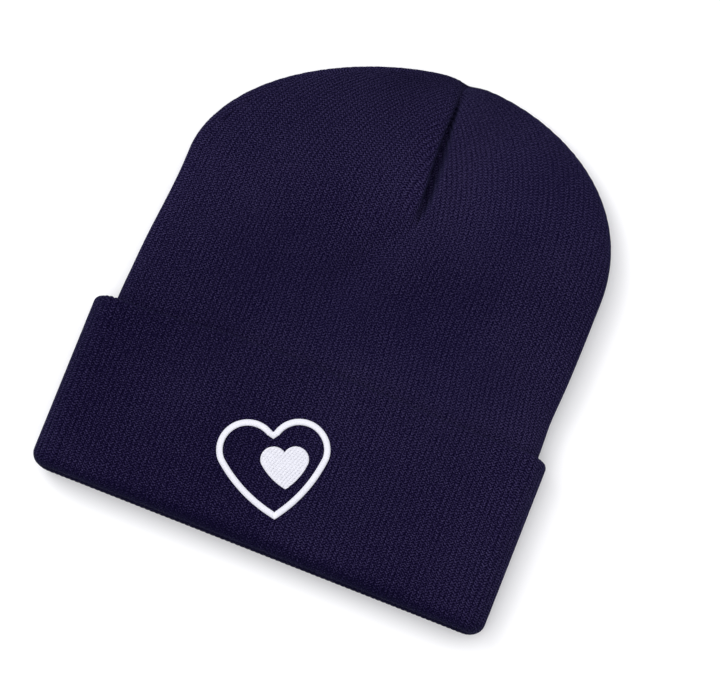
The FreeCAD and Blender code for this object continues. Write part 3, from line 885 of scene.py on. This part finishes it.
def add_stitch(bm, a, b, width, height, sides=6, rings=4):
    """One stitch: a low sphere drawn out between two points, flat ends tucked in."""
    a, b = Vector(a), Vector(b)
    way, up = b - a, Vector((0, 0, 1))
    facing = Matrix((way.normalized(), up.cross(way).normalized(), up)).transposed().to_4x4()
    size = Matrix.Diagonal((way.length, width, height, 1))
    shape = Matrix.Translation((a + b) / 2) @ facing @ size @ Matrix.Rotation(math.pi / 2, 4, "Y")
    bmesh.ops.create_uvsphere(bm, u_segments=sides, v_segments=rings, radius=0.5, matrix=shape)


bm = bmesh.new()
row_count = int((stitch_high.x - stitch_low.x) / STITCH_LENGTH)
step = (stitch_high.x - stitch_low.x) / row_count
for y in (stitch_low.y + THREAD / 2, stitch_high.y - THREAD / 2):
    for k in range(row_count):
        x = stitch_low.x + k * step
        z = stitch_low.z + THREAD / 3
        add_stitch(bm, (x, y, z), (x + STITCH_SHARE * step, y, z), THREAD, THREAD)
label_thread = finished("label_stitching_thread", bm)


# %% [markdown]
# ## Embroidery
# The motif is a plain heart outline in satin stitch with a small solid heart in fill stitch. Satin stitch
# runs across its line, each thread beside the last, over a thin padding that keeps the dark knit from
# showing through. The hearts are drawn upright from arcs, then turned and scaled until they fill the
# boxes of the frame's pieces.

# %% Draw a heart
LOBE = 0.272  # radius of a heart's lobe, as a share of its width
TALL = 0.9  # height, as a share of its width
TILT = math.radians(22)  # anticlockwise on the cuff


def turned(points, angle):
    """Points of the motif's plane, turned anticlockwise."""
    c, s = math.cos(angle), math.sin(angle)
    return np.asarray(points) @ np.array([[c, s], [-s, c]])


def heart_curve(count):
    """Points round an upright heart of width 1 about its middle, clockwise from the notch."""
    dx = 0.5 - LOBE
    up = (TALL - 2 * LOBE) / 2
    dip = math.sqrt(LOBE**2 - dx**2)
    side = np.array([0.48, up - 0.1])
    tip = np.array([0.0, up - (TALL - LOBE)])
    first, last = math.atan2(dip, -dx), math.atan2(side[1] - up, side[0] - dx)
    angles = np.linspace(first, last, 60)
    lobe = np.stack([dx + LOBE * np.cos(angles), up + LOBE * np.sin(angles)], 1)
    t = np.linspace(0, 1, 40)[:, None]
    bow = (side + tip) / 2 + np.array([0.07, -0.07])
    flank = side * (1 - t) ** 2 + 2 * bow * t * (1 - t) + tip * t**2
    right = np.concatenate([lobe, flank[1:]])
    left = right[::-1] * np.array([-1, 1])
    line = np.concatenate([right, left[1:]])
    length = np.concatenate([[0], np.cumsum(np.hypot(*np.diff(line, axis=0).T))])
    at = np.linspace(0, length[-1], count + 1)[:-1]
    return np.stack([np.interp(at, length, line[:, 0]), np.interp(at, length, line[:, 1])], 1)


def inwards(line):
    """Unit directions into a clockwise closed line."""
    way = np.roll(line, -1, 0) - np.roll(line, 1, 0)
    way = way / np.linalg.norm(way, axis=1, keepdims=True)
    return np.stack([way[:, 1], -way[:, 0]], 1)


def fit_to(node):
    """(scale, middle) that make the turned heart fill a node's box."""
    low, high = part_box(node)
    line = turned(heart_curve(400), TILT)
    size = (high.x - low.x) / float(np.ptp(line[:, 0]))
    x0, y0 = (line.max(0) + line.min(0)) / 2 * size
    return size, ((high.x + low.x) / 2 - x0, (high.y + low.y) / 2 - y0)


def on_cuff(points, middle, height):
    """Upright motif points, from the motif's middle, laid on the cuff's front at a height above it."""
    flat = turned(points, TILT) + np.array(middle)
    z = np.full(len(flat), MIDDLE + CUFF_OUT) + height
    return relax(np.concatenate([flat, z[:, None]], 1))


# %% Satin stitch the outline
SATIN_PITCH = 0.46 * MM
OUTLINE_STROKE = 2.6 * MM
THREAD_WIDE, SATIN_HIGH, FILL_HIGH = 0.56 * MM, 0.5 * MM, 0.46 * MM
RAGGED = 0.14  # in mm: a satin stitch may end this far past its line
SUNK, PADDING = 0.35 * MM, 0.3 * MM  # the padding starts inside the knit and rises above it
ON_PADDING = PADDING + 0.02 * MM


def padding_piece(bm, rims, height):
    """Fills between the rims, given as closed loops of points, and thickens the fill."""
    loops = []
    for rim in rims:
        verts = [bm.verts.new(p) for p in rim]
        loops.append([bm.edges.new((verts[k - 1], verts[k])) for k in range(len(verts))])
    if len(loops) == 2:
        faces = bmesh.ops.bridge_loops(bm, edges=loops[0] + loops[1])["faces"]
    else:
        faces = bmesh.ops.edgenet_fill(bm, edges=loops[0])["faces"]
    grown = bmesh.ops.extrude_face_region(bm, geom=faces, use_keep_orig=True)["geom"]
    bmesh.ops.translate(bm, verts=[g for g in grown if isinstance(g, bmesh.types.BMVert)], vec=(0, 0, height))


def stroke_ends(line, stroke):
    """Inner ends of the satin stitches that start on a heart's line, kept on their own side of its middle."""
    ends = line + inwards(line) * stroke
    side = np.sign(line[:, 0])
    ends[:, 0] = np.where(ends[:, 0] * side < 0, 0.0, ends[:, 0])
    return ends


random = np.random.default_rng(7)
size, middle = fit_to("heart_outline_embroidery")
rim = heart_curve(120) * size
bm = bmesh.new()
rims = [rim, stroke_ends(rim, OUTLINE_STROKE)]
padding_piece(bm, [on_cuff(r, middle, -SUNK) for r in rims], PADDING + SUNK)
perimeter = float(np.linalg.norm(np.roll(rim, -1, 0) - rim, axis=1).sum())
line = heart_curve(int(perimeter / SATIN_PITCH)) * size
ends = stroke_ends(line, OUTLINE_STROKE)
slant = np.roll(line, 2, 0)  # the stitches lean a little along the line
outer_ends = on_cuff(slant, middle, ON_PADDING)
inner_ends = on_cuff(ends, middle, ON_PADDING)
for a, b in zip(outer_ends, inner_ends):
    a, b = Vector(a), Vector(b)
    over = (a - b).normalized() * float(random.uniform(0.0, RAGGED)) * MM
    if (a - b).length > 0.6 * MM:
        add_stitch(bm, a + over, b - over, THREAD_WIDE, SATIN_HIGH)
outline_thread = finished("heart_outline_satin_stitch", bm)
print("satin stitches:", len(line), "faces", len(outline_thread.data.polygons))

# %% Fill stitch the small heart
FILL_PITCH, FILL_LENGTH = 0.46 * MM, 4.2 * MM
FILL_OVER = 0.12 * MM  # a stitch runs on this far at each end
FILL_SHORTEST = 0.8 * MM
FILL_SLANT = math.radians(28)  # the rows are turned on the motif
size, middle = fit_to("small_heart_embroidery")
rim = heart_curve(90) * size
bm = bmesh.new()
padding_piece(bm, [on_cuff(rim, middle, -SUNK)], PADDING + SUNK)
turned_rim = turned(rim, -FILL_SLANT)
rows = np.arange(turned_rim[:, 1].min() + 0.2 * MM, turned_rim[:, 1].max() - 0.1 * MM, FILL_PITCH)
count = 0
for number, row in enumerate(rows):
    a, b = turned_rim, np.roll(turned_rim, -1, 0)
    cut = (a[:, 1] - row) * (b[:, 1] - row) < 0
    share = (row - a[cut, 1]) / (b[cut, 1] - a[cut, 1])
    crossings = np.sort(a[cut, 0] + share * (b[cut, 0] - a[cut, 0]))
    for x0, x1 in zip(crossings[::2], crossings[1::2]):
        offset = (number % 3) / 3 * FILL_LENGTH
        inner = np.arange(math.floor(x0 / FILL_LENGTH) * FILL_LENGTH + offset, x1, FILL_LENGTH)
        places = [x0] + [x for x in inner if x0 + FILL_SHORTEST < x < x1 - FILL_SHORTEST] + [x1]
        for start, end in zip(places, places[1:]):
            pair = turned([[start - FILL_OVER, row], [end + FILL_OVER, row]], FILL_SLANT)
            p, q = on_cuff(pair, middle, ON_PADDING)
            add_stitch(bm, p, q, THREAD_WIDE, FILL_HIGH)
            count += 1
heart_thread = finished("small_heart_fill_stitch", bm)
print("fill stitches:", count, "faces", len(heart_thread.data.polygons))


# %% [markdown]
# ## Knit yarn
# Close up, each wale is a column of slanted stitches like a plait. Its relief follows the cloth's own UV
# map, which counts ribs and stitches, so it turns with the wales in every view. The yarn is a spun mix of
# navy fibres, some lighter and some almost black, which a noise on the same map gives. Painted shade makes
# the gaps between stitches and the rib valleys darker. The cuff's knit is painted darker too: most over
# the first few stitches past the hem, as painted shade for the shadow under the hem's fold, and a little
# over the rest of the cuff.

# %% A helper for node trees
def new_material(name, **sockets):
    """A material and its node tree, with numbers and colours set on the shader's own sockets."""
    material = bpy.data.materials.new(name)
    material.use_nodes = True
    tree = material.node_tree
    shader = tree.nodes["Principled BSDF"]
    for socket, value in sockets.items():
        shader.inputs[socket.replace("_", " ")].default_value = value
    return material, tree, shader


def node(tree, kind, inputs=(), **settings):
    """A node with settings; inputs maps a socket's name or number to a value or to another socket."""
    made = tree.nodes.new(kind)
    for key, value in settings.items():
        setattr(made, key, value)
    for key, value in dict(inputs).items():
        if isinstance(value, bpy.types.NodeSocket):
            tree.links.new(value, made.inputs[key])
        else:
            made.inputs[key].default_value = value
    return made


def maths(tree, operation, *values):
    """The result socket of a Math node."""
    return node(tree, "ShaderNodeMath", dict(enumerate(values)), operation=operation).outputs[0]


def object_place(tree):
    """The socket that gives a point's place on its object."""
    return node(tree, "ShaderNodeTexCoord").outputs["Object"]


def surface(tree, shader, height, strength, distance, tone, stops):
    """Wires a relief to the shader's normal and a tone, through (place, colour) stops, to its colour."""
    bump = node(tree, "ShaderNodeBump", {"Height": height, "Strength": strength, "Distance": distance})
    tree.links.new(bump.outputs[0], shader.inputs["Normal"])
    ramp = node(tree, "ShaderNodeValToRGB", {0: tone})
    elements = ramp.color_ramp.elements
    elements[0].position, elements[1].position = stops[0][0], stops[-1][0]
    for place, _ in stops[1:-1]:
        elements.new(place)
    for element, (_, colour) in zip(elements, stops):
        element.color = colour
    tree.links.new(ramp.outputs[0], shader.inputs["Base Color"])


# %% Spin the navy yarn
NAVY_DARK = (0.0008, 0.0002, 0.0080, 1)
NAVY = (0.0045, 0.0022, 0.0210, 1)
NAVY_LIGHT = (0.0355, 0.0285, 0.0775, 1)
LEG_SLOPE = 1.7  # stitches that a slanted leg climbs in the width of a rib
WALE_SHIFT, WOBBLE = 0.8, 0.9  # stitches by which neighbouring wales are out of step, at random and slowly
COLUMN_EDGE = 6.0  # how quickly a leg's relief rises beside the middle of its wale
FUZZ = 0.7  # height of the loose fibres, where a stitch is 1
SLOW_TONE, STITCH_PAINTED_SHADE, VALLEY_PAINTED_SHADE = 0.12, 0.2, 0.07  # what random patches do to the tone, then the painted shade between stitches and in the rib valleys
HEM_SHADE = 0.1  # painted shade: how much darker the cuff's knit is painted at the hem, for the shadow under its fold
CUFF_SHARE = 0.16  # and the share of that which is left over the rest of the cuff


def knit_material(name, hem_shade=0.0):
    """Rib-knit yarn on the cloth's UV map: one unit across is a rib, one unit along is a stitch."""
    material, tree, shader = new_material(name, Roughness=0.88, Specular_IOR_Level=0.03)
    shader.inputs["Sheen Weight"].default_value = 0.05
    shader.inputs["Sheen Roughness"].default_value = 0.45
    shader.inputs["Sheen Tint"].default_value = (0.25, 0.3, 0.75, 1)

    def calc(operation, *values):
        return maths(tree, operation, *values)

    def noise(place, scale, detail, roughness=0.5):
        inputs = {"Vector": place, "Scale": scale, "Detail": detail, "Roughness": roughness}
        return node(tree, "ShaderNodeTexNoise", inputs).outputs[0]

    uv = node(tree, "ShaderNodeUVMap", uv_map="Knit").outputs[0]
    parts = node(tree, "ShaderNodeSeparateXYZ", {0: uv})
    rib, stitch = parts.outputs[0], parts.outputs[1]
    from_middle = calc("ABSOLUTE", calc("SUBTRACT", calc("FRACT", rib), 0.5))
    number = calc("FLOOR", rib)
    wale = node(tree, "ShaderNodeTexWhiteNoise", {"W": number}, noise_dimensions="1D").outputs[0]
    wobble = noise(uv, 0.45, 3.0)
    shift = calc("ADD", calc("MULTIPLY", wale, WALE_SHIFT), calc("MULTIPLY", wobble, WOBBLE))
    along = calc("ADD", calc("SUBTRACT", stitch, calc("MULTIPLY", from_middle, LEG_SLOPE)), shift)
    plait = calc("SINE", calc("MULTIPLY", calc("FRACT", along), math.pi))

    column = calc("MINIMUM", calc("MULTIPLY", from_middle, COLUMN_EDGE), 1.0)
    relief = calc("MULTIPLY", plait, calc("ADD", calc("MULTIPLY", column, 0.5), 0.5))
    relief = calc("ADD", relief, calc("MULTIPLY", noise(uv, 3.2, 3.0, 0.7), FUZZ))

    slow = noise(object_place(tree), 14.0, 2.0)
    tone = calc("ADD", noise(uv, 2.8, 2.0, 0.9), calc("MULTIPLY", calc("SUBTRACT", slow, 0.5), SLOW_TONE))
    # painted shade: each stitch is painted lighter in its middle and darker where it meets the next
    tone = calc("ADD", tone, calc("MULTIPLY", calc("SUBTRACT", plait, 0.6), STITCH_PAINTED_SHADE))
    # painted shade: the rib valleys are painted darker
    valley = calc("POWER", calc("MULTIPLY", from_middle, 2.0), 4.0)
    tone = calc("SUBTRACT", tone, calc("MULTIPLY", valley, VALLEY_PAINTED_SHADE))
    # painted shade: the cuff's knit is darkest up to the hem's lowest line, fading to a slight darkening past
    # it
    past_hem = {0: stitch, 1: HALF_HEM, 2: 2.6 * HALF_HEM, 3: hem_shade, 4: CUFF_SHARE * hem_shade}
    painted_hem_shade = node(tree, "ShaderNodeMapRange", past_hem, interpolation_type="SMOOTHSTEP").outputs[0]
    stops = [(0.40, NAVY_DARK), (0.52, NAVY), (0.64, NAVY_LIGHT)]
    surface(tree, shader, relief, 0.8, 0.0004, calc("SUBTRACT", tone, painted_hem_shade), stops)
    return material


navy_knit = knit_material("navy_rib_knit")
hem_knit = knit_material("navy_cuff_knit", hem_shade=HEM_SHADE)


# %% [markdown]
# ## Threads, ribbon and backing
# Embroidery thread is smooth viscose: white, with a soft gloss along each stitch. The sewing thread and
# the darts' seam allowances are navy, the ribbon a matt white woven tape, and the backing a felted white
# fleece.

# %% Dye the small pieces
def dimmed(colour, share):
    """A colour with its red, green and blue scaled."""
    return tuple(share * v for v in colour[:3]) + (1,)


def thread_material(name, colour, roughness, grain):
    """Twisted thread: a fine noise for its fibres."""
    material, tree, shader = new_material(name, Roughness=roughness, Specular_IOR_Level=0.35)
    fibres = {"Vector": object_place(tree), "Scale": grain, "Detail": 2.0}
    noise = node(tree, "ShaderNodeTexNoise", fibres).outputs[0]
    surface(tree, shader, noise, 0.35, 0.0001, noise, [(0.3, dimmed(colour, 0.82)), (0.6, colour)])
    return material


def tape_material(name, colour, threads):
    """Woven tape or felt: crossed waves in its relief and a slight change of tone."""
    material, tree, shader = new_material(name, Roughness=0.8)
    parts = node(tree, "ShaderNodeSeparateXYZ", {0: object_place(tree)})
    waves = [maths(tree, "SINE", maths(tree, "MULTIPLY", parts.outputs[k], threads)) for k in (0, 1)]
    weave = maths(tree, "MULTIPLY", waves[0], waves[1])
    tone = maths(tree, "ADD", maths(tree, "MULTIPLY", weave, 0.5), 0.5)
    surface(tree, shader, weave, 0.4, 0.0001, tone, [(0.0, dimmed(colour, 0.9)), (1.0, colour)])
    return material


white_thread = thread_material("white_embroidery_thread", (0.70, 0.70, 0.77, 1), 0.42, 2600.0)
navy_thread = thread_material("navy_seam_thread", (0.012, 0.009, 0.035, 1), 0.7, 2200.0)
label_tape = tape_material("white_label_tape", (0.8, 0.8, 0.78, 1), 9000.0)
backing_felt = tape_material("white_backing_fleece", (0.75, 0.75, 0.75, 1), 4000.0)


# %% [markdown]
# ## What rides on what
# Each piece gets its material and the body that it rides on: the hat, a side fold of the cuff or the
# cuff's front, which carries the embroidery. The cuff's front and back pieces themselves get no body. At
# the side folds the tube is a wall thinner than over the doubled hem.

# %% Tie every piece to its body
def dress(piece, material, body):
    """Gives a piece its material and the body that it rides on."""
    piece.data.materials.clear()
    piece.data.materials.append(material)
    if body:
        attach(piece, body)


for piece in (body_knit, lining_knit):
    dress(piece, navy_knit, "hat")
for piece in (roll_left, roll_right):
    dress(piece, hem_knit, "hat")
dress(cuff_left, hem_knit, "cuff_left_fold")
dress(cuff_right, hem_knit, "cuff_right_fold")
for piece in (cuff_front, cuff_back):
    dress(piece, hem_knit, None)
for piece in rolls + [knot]:
    dress(piece, navy_thread, "hat")
for piece in (outline_thread, heart_thread):
    dress(piece, white_thread, "cuff_front")
dress(label, label_tape, "hat")
dress(label_thread, white_thread, "hat")

# %% Bake the cuff's front and back into their meshes and give the side folds their own meshes
SLANT = math.radians(2)  # a lean, from which a direction is worked out for the cuff's front and back
for piece, body, side in ((cuff_front, "cuff_front", 1), (cuff_back, "cuff_back", -1)):
    way = Vector((0, math.sin(SLANT), side * math.cos(SLANT)))
    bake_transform(piece)
for piece, joint in ((cuff_left, "cuff_left_fold_slide"), (cuff_right, "cuff_right_fold_slide")):
    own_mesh(piece)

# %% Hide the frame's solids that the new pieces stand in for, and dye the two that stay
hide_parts("outer_shell")
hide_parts("lining_shell")
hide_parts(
    "cuff_front_outer_ply", "cuff_front_inner_ply", "hem_fold_outer_ply", "hem_fold_inner_ply"
)
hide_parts("cuff_back_outer_ply", "cuff_back_inner_ply")
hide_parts("cuff_left_fold_outer_ply", "cuff_left_fold_inner_ply")
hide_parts("cuff_right_fold_outer_ply", "cuff_right_fold_inner_ply")
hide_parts("heart_outline_embroidery")
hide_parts("small_heart_embroidery")
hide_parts("care_label")
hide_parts("label_stitching")
for name, material in (("embroidery_backing", backing_felt), ("bobbin_stitching", white_thread)):
    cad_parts[name].data.materials.clear()
    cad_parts[name].data.materials.append(material)
print("pieces dressed")


# %% [markdown]
# ## Studio
# A plain white floor, an even sky and one very large light overhead give soft shadows and leave the hem's
# underside dark. A smaller light from the far left shows up the ribs, the dart and the cuff's edge.

# %% Set the floor and the lights
bm = bmesh.new()
bmesh.ops.create_grid(bm, x_segments=1, y_segments=1, size=4.0)
floor = finished("studio_floor", bm)
floor_material, _, _ = new_material("white_floor", Base_Color=(0.88, 0.88, 0.9, 1), Roughness=0.9)
floor.data.materials.append(floor_material)

SKY_STRENGTH = 0.84
sky = bpy.data.worlds.new("studio_sky")
bpy.context.scene.world = sky
sky.use_nodes = True
sky.node_tree.nodes["Background"].inputs[0].default_value = (1.0, 1.0, 1.0, 1)
sky.node_tree.nodes["Background"].inputs[1].default_value = SKY_STRENGTH


def add_light(name, place, size, energy):
    """A square light that faces the hat."""
    lamp = bpy.data.lights.new(name, "AREA")
    lamp.size, lamp.energy = size, energy
    light = bpy.data.objects.new(name, lamp)
    collection.objects.link(light)
    light.location = place
    light.rotation_euler = (-light.location).to_track_quat("-Z", "Y").to_euler()


add_light("key_light", place=(-1.2, 0.35, 1.35), size=1.1, energy=15)
add_light("top_light", place=(0, 0.1, 2.2), size=2.5, energy=26)
bpy.context.scene.view_settings.view_transform = "Standard"

# %% Place the camera
AZIMUTH, ELEVATION, DISTANCE = math.radians(21.5), math.radians(82), 2.0
LENS = 240.0  # a long lens, so the hat looks flat
aim = Vector((0.0093, -0.0125, 0.0))
camera_data = bpy.data.cameras.new("camera")
camera_data.lens = LENS
camera = bpy.data.objects.new("camera", camera_data)
collection.objects.link(camera)
flat = math.cos(ELEVATION)
way = Vector((math.sin(AZIMUTH) * flat, -math.cos(AZIMUTH) * flat, math.sin(ELEVATION)))
camera.location = aim + DISTANCE * way
camera.rotation_euler = (-way).to_track_quat("-Z", "Y").to_euler()
bpy.context.scene.camera = camera
